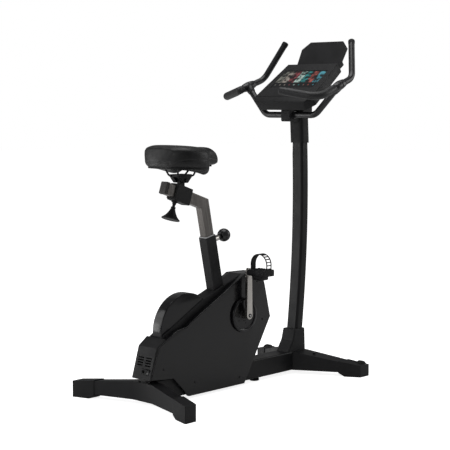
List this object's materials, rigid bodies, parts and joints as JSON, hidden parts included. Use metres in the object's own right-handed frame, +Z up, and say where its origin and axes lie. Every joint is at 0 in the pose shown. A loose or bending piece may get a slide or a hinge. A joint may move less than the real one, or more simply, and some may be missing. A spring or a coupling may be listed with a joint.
{
  "type": "exercise bike",
  "caption": "Upright exercise bike with a covered flywheel drive, an adjustable padded saddle, a curved mast, a bent handlebar and a sloping display console.",
  "frame": {"origin": "middle of the footprint, on the floor, under the crank axle", "axes": "+X to the front, the way the rider faces; +Y to the rider's left; +Z up"},
  "size_m": [1.1133, 0.594, 1.3325],
  "materials": {
    "frame_paint": "satin",
    "shell_gloss": "gloss",
    "plastic_matte": "matte",
    "light_plastic": "satin",
    "grey_plastic": "matte",
    "bar_metal": "satin",
    "post_metal": "brushed",
    "steel": "satin",
    "crank_metal": "polished",
    "cast": "matte",
    "foam": "matte",
    "belt_rubber": "matte",
    "saddle_cover": "satin",
    "screen_glass": "gloss",
    "board": "satin"
  },
  "bodies": {
    "frame": {"main_beam": "frame_paint", "rear_stabiliser": "frame_paint", "front_stabiliser": "frame_paint", "rear_feet": "plastic_matte", "front_feet": "plastic_matte", "centre_foot": "plastic_matte", "mast": "frame_paint", "mast_boot": "plastic_matte", "neck_sleeve": "plastic_matte", "handlebar_clamp": "plastic_matte", "console_back_shell": "shell_gloss", "console_bezel": "shell_gloss", "display_screen": "screen_glass", "circuit_boards": "board", "media_rack": "plastic_matte", "left_side_cover": "shell_gloss", "right_side_cover": "shell_gloss", "spine_cover": "plastic_matte", "drum_cover": "shell_gloss", "tail_cover": "plastic_matte", "power_inlet": "plastic_matte", "seat_tube": "frame_paint", "seat_tube_bush": "light_plastic", "crank_shell": "frame_paint", "bearings": "steel", "drive_brackets": "steel", "drive_belt": "belt_rubber", "brake_motor": "plastic_matte", "cover_screws": "steel", "frame_bolts": "steel"},
    "flywheel": {"flywheel": "cast", "flywheel_shaft": "steel", "flywheel_pulley": "plastic_matte"},
    "crank": {"crank_axle": "steel", "drive_pulley": "plastic_matte", "crank_arms": "crank_metal", "crank_discs": "shell_gloss", "pedal_spindles": "steel"},
    "left_pedal": {"left_pedal": "plastic_matte", "left_pedal_strap": "belt_rubber"},
    "right_pedal": {"right_pedal": "plastic_matte", "right_pedal_strap": "belt_rubber"},
    "idler": {"idler_pulley": "steel"},
    "brake_carrier": {"brake_bracket": "steel"},
    "seat_post": {"seat_post": "post_metal", "post_end_cap": "grey_plastic"},
    "seat_pin": {"pin_knob": "plastic_matte"},
    "seat_carriage": {"saddle_carriage": "plastic_matte", "tilt_bolt": "steel"},
    "carriage_lock": {"carriage_knob": "plastic_matte"},
    "saddle": {"saddle_clamp": "plastic_matte", "saddle_rails": "steel", "saddle_pad": "saddle_cover"},
    "handlebar": {"handlebar_tube": "bar_metal", "hand_grips": "foam"},
    "dial": {"jog_dial": "shell_gloss"},
    "dial_button": {"jog_button": "plastic_matte"},
    "left_wheel": {"left_wheel": "belt_rubber"},
    "right_wheel": {"right_wheel": "belt_rubber"},
    "rocker": {"power_rocker": "shell_gloss"}
  },
  "joints": [
    {"name": "flywheel_spin", "type": "hinge", "parent": "frame", "child": "flywheel", "pos_m": [-0.274, 0, 0.256], "axis": [0, 1, 0], "continuous": true},
    {"name": "crank_spin", "type": "hinge", "parent": "frame", "child": "crank", "pos_m": [0, 0, 0.28], "axis": [0, 1, 0], "continuous": true},
    {"name": "left_pedal_spin", "type": "hinge", "parent": "crank", "child": "left_pedal", "pos_m": [0, 0.13, 0.11], "axis": [0, 1, 0], "continuous": true},
    {"name": "right_pedal_spin", "type": "hinge", "parent": "crank", "child": "right_pedal", "pos_m": [0, -0.13, 0.45], "axis": [0, 1, 0], "continuous": true},
    {"name": "idler_spin", "type": "hinge", "parent": "frame", "child": "idler", "pos_m": [-0.15, 0.031, 0.19759], "axis": [0, 1, 0], "continuous": true},
    {"name": "brake_swing", "type": "hinge", "parent": "frame", "child": "brake_carrier", "pos_m": [-0.236, 0, 0.108], "axis": [0, 1, 0], "range_deg": [0, 5]},
    {"name": "seat_height", "type": "slide", "parent": "frame", "child": "seat_post", "axis": [-0.2079, 0, 0.9781], "range_m": [-0.08, 0.1]},
    {"name": "seat_pin_pull", "type": "slide", "parent": "frame", "child": "seat_pin", "axis": [0.9781, 0, 0.2079], "range_m": [0, 0.009], "stiffness_N_per_m": 1500, "springref_m": -0.002},
    {"name": "saddle_fore_aft", "type": "slide", "parent": "seat_post", "child": "seat_carriage", "axis": [0.9455, 0, -0.3256], "range_m": [-0.03, 0.03]},
    {"name": "carriage_lock_turn", "type": "hinge", "parent": "seat_carriage", "child": "carriage_lock", "pos_m": [-0.30404, 0, 0.75746], "axis": [0.3256, 0, 0.9455], "range_deg": [-180, 180]},
    {"name": "saddle_tilt", "type": "hinge", "parent": "seat_carriage", "child": "saddle", "pos_m": [-0.283, 0, 0.803], "axis": [0, 1, 0], "range_deg": [-10, 10]},
    {"name": "handlebar_tilt", "type": "hinge", "parent": "frame", "child": "handlebar", "pos_m": [0.326, 0, 1.036], "axis": [0, 1, 0], "range_deg": [-12, 12]},
    {"name": "dial_turn", "type": "hinge", "parent": "frame", "child": "dial", "pos_m": [0.30951, 0, 1.12898], "axis": [-0.5878, 0, 0.809], "continuous": true},
    {"name": "dial_press", "type": "slide", "parent": "dial", "child": "dial_button", "axis": [0.5878, 0, -0.809], "range_m": [0, 0.0012], "stiffness_N_per_m": 500, "springref_m": -0.0005},
    {"name": "left_wheel_spin", "type": "hinge", "parent": "frame", "child": "left_wheel", "pos_m": [0.478, 0.247, 0.033], "axis": [0, 1, 0], "continuous": true},
    {"name": "right_wheel_spin", "type": "hinge", "parent": "frame", "child": "right_wheel", "pos_m": [0.478, -0.247, 0.033], "axis": [0, 1, 0], "continuous": true},
    {"name": "rocker_tip", "type": "hinge", "parent": "frame", "child": "rocker", "pos_m": [-0.47, -0.026, 0.126], "axis": [0, 1, 0], "range_deg": [-8, 8]}
  ],
  "couplings": [
    {"joint": "crank_spin", "follows": "flywheel_spin", "ratio": 0.18889},
    {"joint": "idler_spin", "follows": "flywheel_spin", "ratio": -1.1333}
  ]
}
